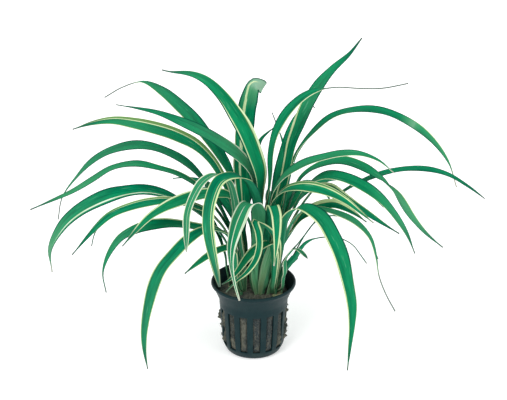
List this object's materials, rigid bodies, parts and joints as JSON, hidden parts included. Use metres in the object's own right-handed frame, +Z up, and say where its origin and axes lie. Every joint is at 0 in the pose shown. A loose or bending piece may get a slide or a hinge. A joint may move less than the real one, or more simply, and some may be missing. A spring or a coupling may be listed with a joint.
{
  "type": "potted chlorophytum",
  "caption": "Variegated grass-like rosette plant with arching strap leaves, rooted in rock wool in a small slotted plastic net pot.",
  "frame": {"origin": "middle of the pot's flat underside, on the surface that it stands on", "axes": "+Z up, +X to the viewer's right, along the widest spread of the leaves, -Y towards the viewer"},
  "size_m": [0.2885, 0.169, 0.2023],
  "materials": {
    "pot_plastic": "dark slate-teal moulded plastic, satin",
    "rock_wool": "grey-brown mineral fibre, matt and damp",
    "rhizome": "pale green and cream plant tissue, matt",
    "leaf": "bluish green leaf with cream margins and stripes, satin"
  },
  "bodies": {
    "root": {"net_pot": "pot_plastic", "rock_wool": "rock_wool", "crown_back_left": "rhizome", "crown_back_right": "rhizome", "crown_front_left": "rhizome", "crown_front_right": "rhizome", "crown_left": "rhizome", "crown_main": "rhizome", "crown_right": "rhizome", "leaf_back_left_01": "leaf", "leaf_back_left_02": "leaf", "leaf_back_left_03": "leaf", "leaf_back_left_04": "leaf", "leaf_back_left_05": "leaf", "leaf_back_left_06": "leaf", "leaf_back_left_07": "leaf", "leaf_back_right_01": "leaf", "leaf_back_right_02": "leaf", "leaf_back_right_03": "leaf", "leaf_back_right_04": "leaf", "leaf_back_right_05": "leaf", "leaf_back_right_06": "leaf", "leaf_back_right_07": "leaf", "leaf_front_left_01": "leaf", "leaf_front_left_02": "leaf", "leaf_front_left_03": "leaf", "leaf_front_left_04": "leaf", "leaf_front_right_01": "leaf", "leaf_front_right_02": "leaf", "leaf_front_right_03": "leaf", "leaf_front_right_04": "leaf", "leaf_front_right_05": "leaf", "leaf_front_right_06": "leaf", "leaf_front_right_07": "leaf", "leaf_left_01": "leaf", "leaf_left_02": "leaf", "leaf_left_03": "leaf", "leaf_left_04": "leaf", "leaf_left_05": "leaf", "leaf_left_06": "leaf", "leaf_main_01": "leaf", "leaf_main_02": "leaf", "leaf_main_03": "leaf", "leaf_main_04": "leaf", "leaf_main_05": "leaf", "leaf_main_06": "leaf", "leaf_main_07": "leaf", "leaf_main_08": "leaf", "leaf_main_09": "leaf", "leaf_right_01": "leaf", "leaf_right_02": "leaf", "leaf_right_03": "leaf", "leaf_right_04": "leaf", "leaf_right_05": "leaf"}
  },
  "joints": []
}
